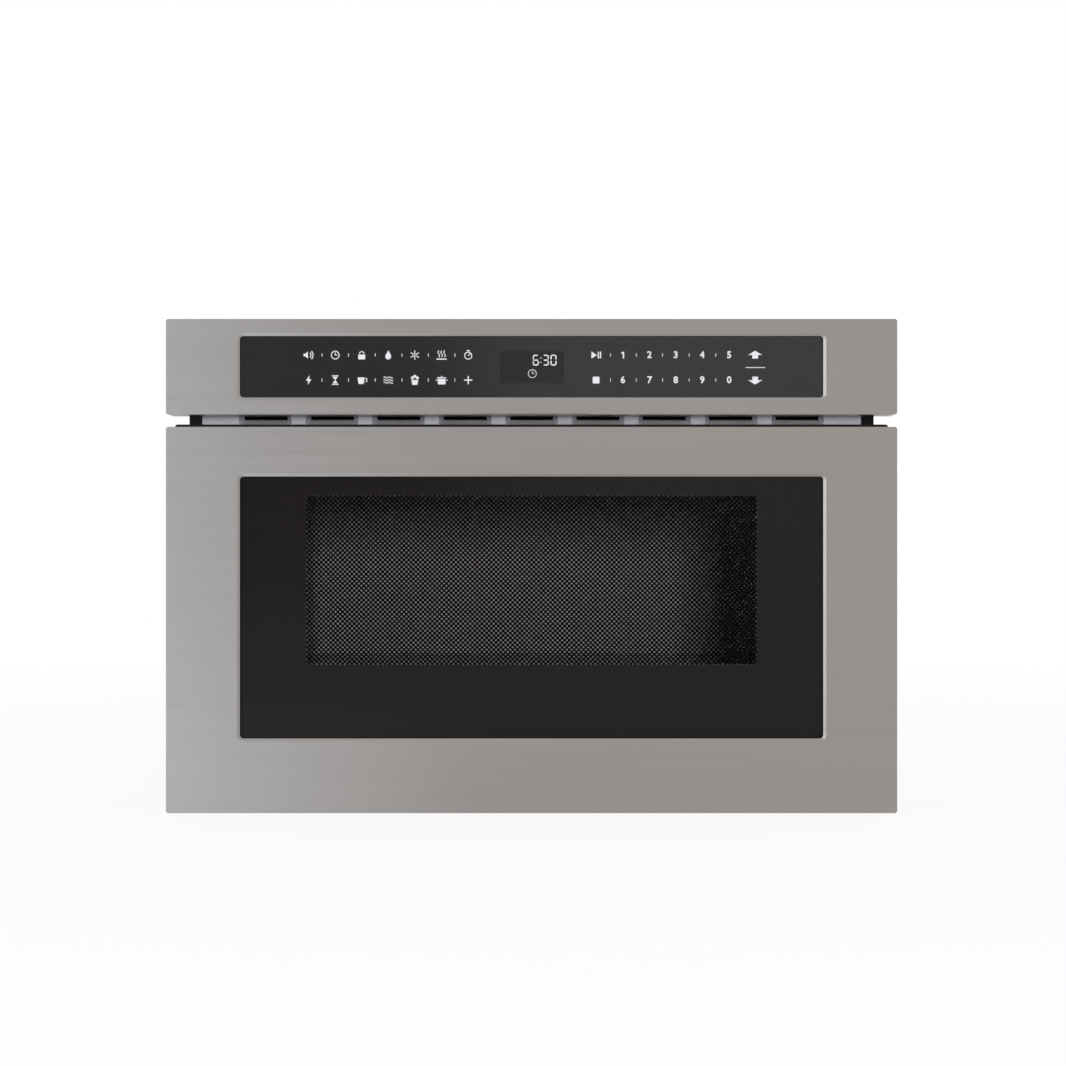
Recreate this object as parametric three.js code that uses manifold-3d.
// Built-in microwave drawer, 24 inch class: a sheet steel chassis with a fixed oven cavity, a drawer
// with a windowed door that runs out on telescopic slides, driven by a rack and pinion, and a control
// panel above it. Millimetres, +Z up, +X to the right, the front looks along -Y. The origin is the
// centre of the underside of the base pan, on the platform of the cabinet.
import * as THREE from 'three';
import { mergeVertices } from 'three/addons/utils/BufferGeometryUtils.js';
import Module from 'manifold-3d';

const wasm = await Module();
wasm.setup();

// ---------------------------------------------------------------- driving dimensions
// Oven cavity, inside
const CAVITY_WIDTH = 454;
const CAVITY_HEIGHT = 193;
const CAVITY_DEPTH = 443;
const CAVITY_LIP = 8; // its flange behind the front plate
// Bays of the chassis round the cavity
const SIDE_BAY = 50;
const UNDER_BAY = 85.8;
const TOP_BAY = 85;
const REAR_BAY = 127.9;
// Sheet and gaps
const SHEET = 1;
const PAN_SHEET = 1.2;
const FRONT_SHEET = 1.5;
const CASE_BEND = 3; // outer radius of the folds of the case
const CASE_LIFT = 2; // sides of the case above the platform
const REAR_INSET = 0.3; // rear panel inside the rear edge of the case
const SEAT = 0.3; // gap between two pieces that rest on each other
const RUNNING = 0.5; // gap between two pieces that slide or turn on each other
// Face of the appliance
const FRONT_PLATE_ABOVE = 16; // front plate above the mouth of the cavity
const SLOT_MARGIN = 2; // slots of the front plate round what passes through them
const RACK_MARGIN = 3;
const FACE_OVERHANG = 25.2; // face beyond the chassis at each side
const FACE_PROUD = 38; // face in front of the cabinet
const DOOR_DROP = 11.1; // door below the platform
const DOOR_COVER = 28.2; // door above the mouth of the cavity
const DOOR_CLEARANCE = 2.5; // closed door to front plate
const VENT_GAP = 10.3; // between door and control panel
const PANEL_HEIGHT = 79.2;
const FACE_SHEET = 1.5; // front of the door skin and of the bezel
const FACE_RETURN = 1.5; // their turned-in edges
const FACE_CORNER = 2;
const BEVEL = 2.4; // width of the polished edge round each glass
const BEVEL_DEPTH = 1.3;
const GLASS_CORNER = 3;
const GLASS_LAP = 4; // glass behind the edge of its opening
// Door
const DOOR_GLASS_SIDE = 61.2;
const DOOR_GLASS_BELOW = 61.8;
const DOOR_GLASS_ABOVE = 41.1;
const DOOR_GLASS_THICK = 4;
const SCREEN_SIDE = 54.75; // edge of the glass opening to the perforated field
const SCREEN_BELOW = 61.4;
const SCREEN_ABOVE = 15.9;
const SCREEN_SHEET = 0.6;
const SCREEN_RIM = 26; // blank sheet round the perforated field
const LINER_THICK = 2.5;
const LINER_RISE = 3.4; // liner above the top of the door skin
const LINER_INSET = 3; // liner inside the outline of the door skin, at sides and bottom
const PANE_THICK = 3;
const PANE_LAP = 8;
const LINER_LAP = 4; // liner over the edge of the inner pane
const CHOKE_SHEET = 1.5;
const CHOKE_OFFSET = 18; // choke wall outside the mouth of the cavity
const CHOKE_SHORTER = 1; // choke wall in front of the liner's seat
const FINGER_PITCH = 24;
const FINGER_SLOT = 4;
const FINGER_DEPTH = 14;
// Control panel
const PANEL_GLASS_SIDE = 61.2;
const PANEL_GLASS_MARGIN = 14.1; // above and below the glass
const PANEL_GLASS_THICK = 3;
const PANEL_RELIEF_WIDTH = 97; // shallow recess under the bezel
const PANEL_RELIEF_DEPTH = 0.6;
const PANEL_RELIEF_REACH = 12;
const HOUSING_WALL = 2;
const HOUSING_RIBS = [-170, -60, 60, 170];
const BOARD_THICK = 1.6;
const BOARD_MARGIN = 4;
const DISPLAY_WIDTH = 53.7;
const DISPLAY_HEIGHT = 27.4;
const DISPLAY_DEPTH = 10;
const DISPLAY_RIM = 2;
// Louvres of the vent plate
const LOUVRES = 9;
const LOUVRE_PITCH = 56.2;
const LOUVRE_WIDTH = 44.3;
const LOUVRE_FOOT = 3.7; // foot of the ramp above the top of the door skin
const LOUVRE_RAMP = 4;
const LOUVRE_SLOT = 2.8;
const LOUVRE_DEPTH = 7;
const LOUVRE_TAPER = 4;
// Drawer
const TRAVEL = 385;
const TUB_SIDE_CLEARANCE = 5.5;
const TUB_FLOOR_CLEARANCE = 6;
const TUB_TOP_CLEARANCE = 19;
const TUB_BACK_CLEARANCE = 23;
const TUB_HEM = 3;
const TUB_CORNER = 14;
const FLOOR_GLASS_THICK = 5;
const FLOOR_GLASS_INSET = 6;
// Slides
const SLIDE_HEIGHT = 45.7;
const SLIDE_DEPTH = 12.7;
const SLIDE_SHEET = 1.2;
const SLIDE_BALL = 2.6;
const SLIDE_LENGTH = 430;
const SLIDE_SHORTER = 16; // each moving member against the one it runs in
const SLIDE_CENTRE = 75; // above the floor of the cavity
const SLIDE_BAY_GAP = 14; // case side to fixed member
const SLIDE_LIP = 3;
const BRACKET_SHEET = 1.5;
const BRACKET_ABOVE = 6; // bracket above the fixed member
const BRACKET_WINDOW = 52;
const ARM_THICK = 2;
const ARM_HEIGHT = 22;
const ARM_ROOT_HEIGHT = 60;
const ARM_ROOT_LENGTH = 70;
const ARM_TAPER = 24;
const ARM_FOOT = 20;
// Rack and pinion, standard involute teeth
const MODULE = 2;
const PINION_TEETH = 18;
const PRESSURE_ANGLE = THREE.MathUtils.degToRad(20);
const BACKLASH = 0.3;
const FACE_WIDTH_OF_TEETH = 10;
const PINION_X = 60;
const PINION_BEHIND_FRONT = 60;
const RACK_BACK = 10; // rack behind its root line
const RACK_SPARE = 24; // rack past the pinion with the drawer open
const RACK_LEVEL = 31;
const PINION_SHAFT = 4;
const PINION_COLLAR = 9;
const SHAFT_FOOT = 4; // floor of its bore in the gearbox
const GEARBOX_HEIGHT = 24;
const GEARBOX_WIDTH = 64;
const GEARBOX_DEPTH = 70;
// Microwave feed
const STIRRER_RADIUS = 58;
const STIRRER_PORT = 34;
const STIRRER_SHAFT = 3;
const COVER_MARGIN = 20;
const COVER_CLEARANCE = 4; // cover above the rim of the tub
const COVER_WALL = 1.5;
const COVER_CORNER = 12;
const GUIDE_WIDTH = 86;
const GUIDE_HEIGHT = 38;
const GUIDE_SHEET = 1.5;
const GUIDE_PAST_PORT = 14;
const MAGNETRON_WIDTH = 94;
const MAGNETRON_DEPTH = 80;
const MAGNETRON_HEIGHT = 92;
// Fan
const FAN_RADIUS = 52;
const FAN_BLADES = 7;
const FAN_X = -102;
const FAN_SHAFT = 3;
// Mounting flanges
const FLANGE_SHEET = 1.5;
const FLANGE_REACH = 18.7;
const FLANGE_NARROW = 10.3; // beside the vent gap and the control panel
const FLANGE_LEG = 30;
const FLANGE_FOOT = 20;
const FLANGE_HOLE = 2.5;

// ---------------------------------------------------------------- sizes that follow
const CORNER_STEPS = 2;
const ROUND_STEPS = 12;
const SMALL_ROUND_STEPS = 5;
const GRID = 1e-4; // equal places get equal numbers
const THROUGH = 2; // how far a cutter runs past the face it leaves

const chassisWidth = CAVITY_WIDTH + 2 * (SHEET + SIDE_BAY);
const halfChassis = chassisWidth / 2;
const cavityFloor = PAN_SHEET + UNDER_BAY + SHEET;
const cavityTop = cavityFloor + CAVITY_HEIGHT;
const cavityRoof = cavityTop + SHEET;
const chassisHeight = cavityRoof + TOP_BAY + SHEET;
const chassisDepth = FRONT_SHEET + SEAT + CAVITY_DEPTH + 2 * SHEET + REAR_BAY + REAR_INSET;
const frontY = -chassisDepth / 2;
const behindFront = frontY + FRONT_SHEET + SEAT;
const rearY = chassisDepth / 2;
const rearPanelY = rearY - REAR_INSET; // its outer face
const cavityBackY = behindFront + CAVITY_DEPTH;
const halfMouth = CAVITY_WIDTH / 2;
const caseInside = halfChassis - SHEET;
const caseCeiling = chassisHeight - SHEET;
const panTop = PAN_SHEET + SEAT;

const halfFace = halfChassis + FACE_OVERHANG;
const faceY = frontY - FACE_PROUD;
const doorBottom = -DOOR_DROP;
const doorTop = cavityTop + DOOR_COVER;
const panelBottom = doorTop + VENT_GAP;
const panelTop = panelBottom + PANEL_HEIGHT;
const behindFace = faceY + FACE_SHEET + SEAT;

const linerBackY = frontY - DOOR_CLEARANCE;
const linerFrontY = linerBackY - LINER_THICK;
const skinEndY = linerFrontY - SEAT;
const doorGlassBackY = behindFace + DOOR_GLASS_THICK;
const screenY = doorGlassBackY + SEAT;
const chokeY = screenY + SCREEN_SHEET + SEAT;
const onDoorY = linerBackY + SEAT; // front of what is fixed to the back of the door

const doorGlass = {
  x: halfFace - DOOR_GLASS_SIDE,
  low: doorBottom + DOOR_GLASS_BELOW,
  high: doorTop - DOOR_GLASS_ABOVE,
};
const field = {
  x: doorGlass.x - SCREEN_SIDE,
  low: doorGlass.low + SCREEN_BELOW,
  high: doorGlass.high - SCREEN_ABOVE,
};
const panelGlass = {
  x: halfFace - PANEL_GLASS_SIDE,
  low: panelBottom + PANEL_GLASS_MARGIN,
  high: panelTop - PANEL_GLASS_MARGIN,
};
const panelMiddle = (panelBottom + panelTop) / 2;

const tub = {
  x: halfMouth - TUB_SIDE_CLEARANCE,
  low: cavityFloor + TUB_FLOOR_CLEARANCE,
  high: cavityTop - TUB_TOP_CLEARANCE,
  back: cavityBackY - TUB_BACK_CLEARANCE,
};

const slideX = caseInside - SLIDE_BAY_GAP; // outer face of the fixed member
const slideZ = cavityFloor + SLIDE_CENTRE;
const slideInnerFace = slideX - SLIDE_DEPTH;
const middleHalf = SLIDE_HEIGHT / 2 - SLIDE_SHEET - SLIDE_BALL;
const innerHalf = middleHalf - SLIDE_SHEET - SLIDE_BALL;
const armX = slideInnerFace - SEAT;

const pitchRadius = MODULE * PINION_TEETH / 2;
const pinionY = frontY + PINION_BEHIND_FRONT;
const rackPitchX = PINION_X - pitchRadius;
const rackRootX = rackPitchX - 1.25 * MODULE;
const rackBackX = rackRootX - RACK_BACK;
const rackEndY = pinionY + TRAVEL + RACK_SPARE;
const rackTop = RACK_LEVEL + FACE_WIDTH_OF_TEETH;

const stirrerY = (behindFront + cavityBackY) / 2;
const guideFloor = cavityRoof + SEAT;
const guideTop = guideFloor + GUIDE_HEIGHT;
const rearBayY = cavityBackY + SHEET;
const rearBayMiddle = (rearBayY + rearY) / 2;
const guideEndY = rearBayMiddle + MAGNETRON_DEPTH / 2;
const fanZ = guideFloor - SEAT - MAGNETRON_HEIGHT / 2 - 8;

// ---------------------------------------------------------------- finishes
function finish(color, roughness, metalness) {
  return new THREE.MeshStandardMaterial({ color, roughness, metalness });
}
const faceSteel = finish(0x99959a, 0.36, 0.9);
const blackGlass = finish(0x1c1a1a, 0.08, 0.0);
const clearGlass = finish(0xb8c4c4, 0.05, 0.0);
const blackPlastic = finish(0x1d1d1f, 0.5, 0.0);
const whitePlastic = finish(0xe3e0d6, 0.5, 0.0);
const zincSteel = finish(0xa9adb0, 0.45, 0.85);
const blackSteel = finish(0x161617, 0.5, 0.3);
const cavitySteel = finish(0xb3b0aa, 0.4, 0.75);
const board = finish(0x1f5a38, 0.6, 0.0);
const laminations = finish(0x4b4a4c, 0.6, 0.6);
const aluminium = finish(0xc4c6c8, 0.4, 0.9);
const ceramicGlass = finish(0x2b2a2c, 0.15, 0.0);

// ---------------------------------------------------------------- solids
function solidOf(geometry) {
  const bare = geometry.clone();
  bare.deleteAttribute('normal');
  bare.deleteAttribute('uv');
  const position = bare.attributes.position;
  for (let number = 0; number < position.array.length; number += 1) {
    position.array[number] = Math.round(position.array[number] / GRID) * GRID;
  }
  const merged = mergeVertices(bare, GRID / 2);
  return new wasm.Manifold(new wasm.Mesh({
    numProp: 3,
    vertProperties: Float32Array.from(merged.attributes.position.array),
    triVerts: Uint32Array.from(merged.index.array),
  }));
}

function geometryOf(solid) {
  const mesh = solid.getMesh();
  const geometry = new THREE.BufferGeometry();
  geometry.setAttribute('position', new THREE.BufferAttribute(Float32Array.from(mesh.vertProperties), 3));
  geometry.setIndex(new THREE.BufferAttribute(Uint32Array.from(mesh.triVerts), 1));
  const flat = geometry.toNonIndexed();
  flat.computeVertexNormals();
  return flat;
}

function joined(solids) {
  return solids.reduce((whole, solid) => whole.add(solid));
}

function cut(whole, cutters) {
  return cutters.reduce((left, cutter) => left.subtract(cutter), whole);
}

function sorted(a, b) {
  return a < b ? [a, b] : [b, a];
}

function block(xs, ys, zs) {
  const [x0, x1] = sorted(...xs);
  const [y0, y1] = sorted(...ys);
  const [z0, z1] = sorted(...zs);
  const geometry = new THREE.BoxGeometry(x1 - x0, y1 - y0, z1 - z0);
  geometry.translate((x0 + x1) / 2, (y0 + y1) / 2, (z0 + z1) / 2);
  return solidOf(geometry);
}

// A closed outline from points, or a rectangle with round corners.
function outline(points) {
  return new THREE.Shape(points.map(([u, v]) => new THREE.Vector2(u, v)));
}

function roundedRectangle(us, vs, radius) {
  const [u0, u1] = sorted(...us);
  const [v0, v1] = sorted(...vs);
  const shape = new THREE.Shape();
  shape.moveTo(u0 + radius, v0);
  shape.lineTo(u1 - radius, v0);
  shape.absarc(u1 - radius, v0 + radius, radius, -Math.PI / 2, 0);
  shape.lineTo(u1, v1 - radius);
  shape.absarc(u1 - radius, v1 - radius, radius, 0, Math.PI / 2);
  shape.lineTo(u0 + radius, v1);
  shape.absarc(u0 + radius, v1 - radius, radius, Math.PI / 2, Math.PI);
  shape.lineTo(u0, v0 + radius);
  shape.absarc(u0 + radius, v0 + radius, radius, Math.PI, 1.5 * Math.PI);
  return shape;
}

// An outline drawn in one plane and given its thickness along the third axis.
const alongAxis = {
  x: new THREE.Matrix4().set(0, 0, 1, 0, 1, 0, 0, 0, 0, 1, 0, 0, 0, 0, 0, 1), // outline in Y, Z
  y: new THREE.Matrix4().set(1, 0, 0, 0, 0, 0, 1, 0, 0, 1, 0, 0, 0, 0, 0, 1), // outline in X, Z
  z: new THREE.Matrix4(), // outline in X, Y
};

function extruded(shape, axis, ends, steps = CORNER_STEPS) {
  const [from, to] = sorted(...ends);
  const geometry = new THREE.ExtrudeGeometry(shape, {
    depth: to - from, bevelEnabled: false, curveSegments: steps,
  });
  geometry.translate(0, 0, from);
  geometry.applyMatrix4(alongAxis[axis]);
  if (axis === 'y') {
    turnFacesOut(geometry); // X, Z, Y is a mirrored order
  }
  return solidOf(geometry);
}

function turnFacesOut(geometry) {
  const position = geometry.attributes.position;
  for (let corner = 0; corner < position.count; corner += 3) {
    for (let part = 0; part < 3; part += 1) {
      const kept = position.getComponent(corner + 1, part);
      position.setComponent(corner + 1, part, position.getComponent(corner + 2, part));
      position.setComponent(corner + 2, part, kept);
    }
  }
}

function rod(axis, centre, radius, ends, steps = ROUND_STEPS) {
  const shape = new THREE.Shape();
  shape.absarc(centre[0], centre[1], radius, 0, 2 * Math.PI);
  return extruded(shape, axis, ends, steps);
}

// A solid through rings of equal point counts, each ring convex.
function loft(rings) {
  const count = rings[0].length;
  const positions = rings.flat().flat();
  const index = [];
  for (let ring = 0; ring + 1 < rings.length; ring += 1) {
    for (let corner = 0; corner < count; corner += 1) {
      const here = ring * count + corner;
      const next = ring * count + (corner + 1) % count;
      index.push(here, next, next + count, here, next + count, here + count);
    }
  }
  const last = (rings.length - 1) * count;
  for (let corner = 1; corner + 1 < count; corner += 1) {
    index.push(0, corner + 1, corner);
    index.push(last, last + corner, last + corner + 1);
  }
  const point = (number) => new THREE.Vector3(...positions.slice(3 * number, 3 * number + 3));
  let volume = 0;
  for (let start = 0; start < index.length; start += 3) {
    const [a, b, c] = index.slice(start, start + 3).map(point);
    volume += a.dot(b.cross(c));
  }
  if (volume < 0) {
    index.reverse(); // the rings ran the other way round
  }
  const geometry = new THREE.BufferGeometry();
  geometry.setAttribute('position', new THREE.Float32BufferAttribute(positions, 3));
  geometry.setIndex(index);
  return solidOf(geometry);
}

// The ring of a rectangle with round corners, in the plane y, as points [x, y, z].
function ringAt(y, halfWidth, low, high, radius) {
  return roundedRectangle([-halfWidth, halfWidth], [low, high], radius)
    .extractPoints(CORNER_STEPS).shape.slice(0, -1)
    .map((point) => [point.x, y, point.y]);
}

// The bevelled opening that a glass shows through: straight at the back, wider at the face.
function bevelledOpening(opening) {
  const wide = [opening.x + BEVEL, opening.low - BEVEL, opening.high + BEVEL, GLASS_CORNER + BEVEL];
  const beyond = [
    opening.x + BEVEL + THROUGH, opening.low - BEVEL - THROUGH,
    opening.high + BEVEL + THROUGH, GLASS_CORNER + BEVEL + THROUGH,
  ];
  const narrow = [opening.x, opening.low, opening.high, GLASS_CORNER];
  return loft([
    ringAt(faceY - THROUGH, ...beyond),
    ringAt(faceY, ...wide),
    ringAt(faceY + BEVEL_DEPTH, ...narrow),
    ringAt(faceY + FACE_SHEET + THROUGH, ...narrow),
  ]);
}

// A folded face plate: front sheet with edges turned back on four sides.
function foldedFace(low, high, endY) {
  const outer = extruded(
    roundedRectangle([-halfFace, halfFace], [low, high], FACE_CORNER), 'y', [faceY, endY]);
  const inner = block(
    [-halfFace + FACE_RETURN, halfFace - FACE_RETURN],
    [faceY + FACE_SHEET, endY + THROUGH], [low + FACE_RETURN, high - FACE_RETURN]);
  return outer.subtract(inner);
}

const drawerUnit = new THREE.Group();

function piece(name, solid, material) {
  const mesh = new THREE.Mesh(geometryOf(solid), material);
  mesh.name = name;
  drawerUnit.add(mesh);
}

const sides = [['left', -1], ['right', 1]];

// ---------------------------------------------------------------- chassis
const bead = { half: 14, slope: 4, rise: 3, fromFront: 120, fromRear: 200, centres: [-180, -90, 90, 180] };
const pan = { lip: 12 };
const caseBead = { half: 12, slope: 3, depth: 2.5, fromSide: 60, centres: [-150, 40] };

// A bead pressed up in the pan, or with grow the metal over it.
function beadSolid(centre, low, grow) {
  const ys = [frontY + bead.fromFront, rearY - bead.fromRear];
  const ring = (z, shrink) => [
    [centre - bead.half - grow + shrink, ys[0] - grow + shrink, z],
    [centre + bead.half + grow - shrink, ys[0] - grow + shrink, z],
    [centre + bead.half + grow - shrink, ys[1] + grow - shrink, z],
    [centre - bead.half - grow + shrink, ys[1] + grow - shrink, z],
  ];
  return loft([ring(low, 0), ring(Math.max(low, 0) + grow / 2, 0), ring(bead.rise + grow, bead.slope)]);
}

function basePan() {
  const edge = caseInside - SEAT;
  const back = rearPanelY - SHEET - SEAT;
  const tray = block([-edge, edge], [behindFront, back], [0, pan.lip]).subtract(block(
    [-edge + PAN_SHEET, edge - PAN_SHEET], [behindFront + PAN_SHEET, back - PAN_SHEET],
    [PAN_SHEET, pan.lip + THROUGH]));
  const over = bead.centres.map((centre) => beadSolid(centre, 0.4, PAN_SHEET));
  const under = bead.centres.map((centre) => beadSolid(centre, -THROUGH, 0));
  return cut(joined([tray, ...over]), under);
}

// One sheet folded over three sides, open below, with two beads pressed into its top.
function outerCase() {
  const belowFold = CASE_LIFT - 4 * CASE_BEND;
  const outer = roundedRectangle([-halfChassis, halfChassis], [belowFold, chassisHeight], CASE_BEND);
  const inner = roundedRectangle(
    [-caseInside, caseInside], [belowFold - 2 * CASE_BEND, caseCeiling], CASE_BEND - SHEET);
  const shell = extruded(outer, 'y', [behindFront, rearY]).subtract(
    extruded(inner, 'y', [behindFront - THROUGH, rearY + THROUGH]));
  const below = block(
    [-halfChassis - THROUGH, halfChassis + THROUGH], [behindFront - THROUGH, rearY + THROUGH],
    [belowFold - 3 * CASE_BEND, CASE_LIFT]);
  const over = caseBead.centres.map((y) => caseBeadSolid(y, [chassisHeight - SHEET / 2], SHEET));
  const under = caseBead.centres.map((y) => caseBeadSolid(y, [chassisHeight + THROUGH, chassisHeight], 0));
  return cut(joined([shell.subtract(below), ...over]), under);
}

// A bead pressed down into the top of the case, or with grow the metal under it.
function caseBeadSolid(y, tops, grow) {
  const half = halfChassis - caseBead.fromSide + grow;
  const wide = caseBead.half + grow;
  const ring = (z, shrink) => [
    [-half + shrink, y - wide + shrink, z], [half - shrink, y - wide + shrink, z],
    [half - shrink, y + wide - shrink, z], [-half + shrink, y + wide - shrink, z],
  ];
  const bottom = ring(chassisHeight - caseBead.depth - grow, caseBead.slope);
  return loft([...tops.map((z) => ring(z, 0)), bottom]);
}

// Banks of air slots in the rear panel, each as [height, centre along X].
const rearSlot = {
  width: 5, height: 46, pitch: 12, count: 9, banks: [[fanZ, -190], [fanZ, 150], [90, 150]],
};

function rearPanel() {
  const edge = caseInside - SEAT;
  const plate = extruded(roundedRectangle(
    [-edge, edge], [panTop, caseCeiling - SEAT], CASE_BEND), 'y', [rearPanelY - SHEET, rearPanelY]);
  const cutters = [];
  for (const [middle, centre] of rearSlot.banks) {
    for (let number = 0; number < rearSlot.count; number += 1) {
      const x = centre + (number - (rearSlot.count - 1) / 2) * rearSlot.pitch;
      cutters.push(block(
        [x - rearSlot.width / 2, x + rearSlot.width / 2], [rearY - 2 * THROUGH, rearY + THROUGH],
        [middle - rearSlot.height / 2, middle + rearSlot.height / 2]));
    }
  }
  cutters.push(rod('y', [inlet.x, inlet.z], inlet.neck + SEAT, [rearY - 2 * THROUGH, rearY + THROUGH]));
  return cut(plate, cutters);
}

const inlet = { x: -215, z: 60, neck: 9, bore: 4.5, flange: 13, flangeThick: 2.5, inside: 10, root: 0.5 };

function cordInlet() {
  const panelFront = rearPanelY - SHEET;
  const outside = rearPanelY + SEAT;
  const flange = rod('y', [inlet.x, inlet.z], inlet.flange, [outside, outside + inlet.flangeThick]);
  const neck = rod('y', [inlet.x, inlet.z], inlet.neck, [panelFront - inlet.inside, outside + inlet.root]);
  const bore = rod(
    'y', [inlet.x, inlet.z], inlet.bore, [panelFront - 2 * inlet.inside, outside + 2 * inlet.flangeThick]);
  return flange.add(neck).subtract(bore);
}

const frontPlateTop = cavityTop + FRONT_PLATE_ABOVE;
const slideSlot = {
  half: ARM_ROOT_HEIGHT / 2 + SLOT_MARGIN, inner: armX - ARM_THICK - SLOT_MARGIN, outer: slideX + RUNNING,
};
const hook = {
  x: halfMouth + 18, thick: 2.5, low: slideZ + 66, height: 14, reach: 28,
  notchFrom: 14, notchTo: 8, notchHigh: 6, footWidth: 16, footRise: 4,
};

function frontPlate() {
  const plate = block([-halfChassis, halfChassis], [frontY, frontY + FRONT_SHEET], [panTop, frontPlateTop]);
  const depth = [frontY - THROUGH, frontY + FRONT_SHEET + THROUGH];
  const mouth = block([-halfMouth, halfMouth], depth, [cavityFloor, cavityTop]);
  const cutters = [mouth];
  for (const [, sign] of sides) {
    cutters.push(block(
      [sign * slideSlot.inner, sign * slideSlot.outer], depth,
      [slideZ - slideSlot.half, slideZ + slideSlot.half]));
    cutters.push(block(
      [sign * (hook.x - SLOT_MARGIN), sign * (hook.x + hook.thick + SLOT_MARGIN)], depth,
      [hook.low - SLOT_MARGIN, hook.low + hook.height + SLOT_MARGIN]));
  }
  cutters.push(block(
    [rackBackX - RACK_MARGIN, rackPitchX + MODULE + RACK_MARGIN], depth,
    [RACK_LEVEL - RACK_MARGIN, rackTop + RACK_MARGIN]));
  return cut(plate, cutters);
}

// Nine louvres pressed back from the plate, each with a slot on top, a ramp and slanted ends.
function ventPlate() {
  let plate = block(
    [-halfChassis, halfChassis], [frontY, frontY + FRONT_SHEET], [frontPlateTop + SEAT, chassisHeight]);
  const foot = doorTop + LOUVRE_FOOT;
  const edge = foot + LOUVRE_RAMP;
  const slotTop = edge + LOUVRE_SLOT;
  const half = LOUVRE_WIDTH / 2;
  const section = (centre, y, inset, grow, low) => {
    const reach = half - inset + grow;
    return [
      [centre - reach, y, low - grow], [centre + reach, y, low - grow],
      [centre + reach, y, slotTop], [centre - reach, y, slotTop],
    ];
  };
  for (let number = 0; number < LOUVRES; number += 1) {
    const centre = (number - (LOUVRES - 1) / 2) * LOUVRE_PITCH;
    const deep = frontY + LOUVRE_DEPTH;
    const shell = loft([
      section(centre, frontY, 0, SHEET, foot),
      section(centre, deep, LOUVRE_TAPER, SHEET, edge),
      section(centre, deep + SHEET, LOUVRE_TAPER, SHEET, edge),
    ]);
    const pocket = loft([
      section(centre, frontY - THROUGH, 0, 0, foot),
      section(centre, frontY, 0, 0, foot),
      section(centre, deep, LOUVRE_TAPER, 0, edge),
      section(centre, deep + THROUGH, LOUVRE_TAPER, 0, edge),
    ]);
    plate = plate.add(shell).subtract(pocket);
  }
  return plate;
}

const LAMP_BEHIND_PORT = 110;
const lamp = {
  x: 140, y: stirrerY + LAMP_BEHIND_PORT, width: 44, depth: 34, height: 30, wall: 1.2, bulb: 10, bulbFrom: 23,
  socket: 9, socketFrom: 0.5, socketTo: 16,
};
const lampGrid = { pitch: 9, radius: 2.4, rows: 3, columns: 4 };
const airSlot = { count: 8, pitch: 10, width: 3, low: 60, height: 34, fromBack: 60 };

// Folded box with a flange at its mouth, the stirrer's port and the lamp's grid in its roof.
function ovenCavity() {
  const outside = halfMouth + SHEET;
  const lip = CAVITY_LIP;
  const shell = block(
    [-outside, outside], [behindFront, cavityBackY + SHEET], [cavityFloor - SHEET, cavityRoof]);
  const flange = block(
    [-outside - lip, outside + lip], [behindFront, behindFront + SHEET],
    [cavityFloor - SHEET - lip, cavityRoof + lip]);
  const hollow = block(
    [-halfMouth, halfMouth], [behindFront - THROUGH, cavityBackY], [cavityFloor, cavityTop]);
  const cutters = [hollow];
  cutters.push(rod('z', [0, stirrerY], STIRRER_PORT, [cavityTop - THROUGH, cavityRoof + THROUGH]));
  for (let row = 0; row < lampGrid.rows; row += 1) {
    for (let column = 0; column < lampGrid.columns; column += 1) {
      const x = lamp.x + (column - (lampGrid.columns - 1) / 2) * lampGrid.pitch;
      const y = lamp.y + (row - (lampGrid.rows - 1) / 2) * lampGrid.pitch;
      cutters.push(rod(
        'z', [x, y], lampGrid.radius, [cavityTop - THROUGH, cavityRoof + THROUGH], SMALL_ROUND_STEPS));
    }
  }
  for (let number = 0; number < airSlot.count; number += 1) {
    const y = cavityBackY - airSlot.fromBack - number * airSlot.pitch;
    cutters.push(block(
      [-outside - THROUGH, -halfMouth + THROUGH], [y, y + airSlot.width],
      [cavityFloor + airSlot.low, cavityFloor + airSlot.low + airSlot.height]));
  }
  return cut(shell.add(flange), cutters);
}

const support = { span: 150, sheet: 1.5, width: 26, foot: 18, fromBack: 60 };

// A portal on the base pan under the rear of the cavity; the rack passes between its legs.
function cavitySupport() {
  const { span, sheet, foot } = support;
  const top = cavityFloor - SHEET - SEAT;
  const from = cavityBackY - support.fromBack;
  const ys = [from, from + support.width];
  const parts = [block([-span, span], ys, [top - sheet, top])];
  for (const [, sign] of sides) {
    parts.push(block([sign * span, sign * (span - sheet)], ys, [panTop, top]));
    parts.push(block([sign * span, sign * (span - foot)], ys, [panTop, panTop + sheet]));
  }
  return joined(parts);
}

const flange = { shoulderAbove: 3, slope: 8, below: 2, holeFromEdge: 7, holeLevels: [0.2, 0.5, 0.8] };

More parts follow.
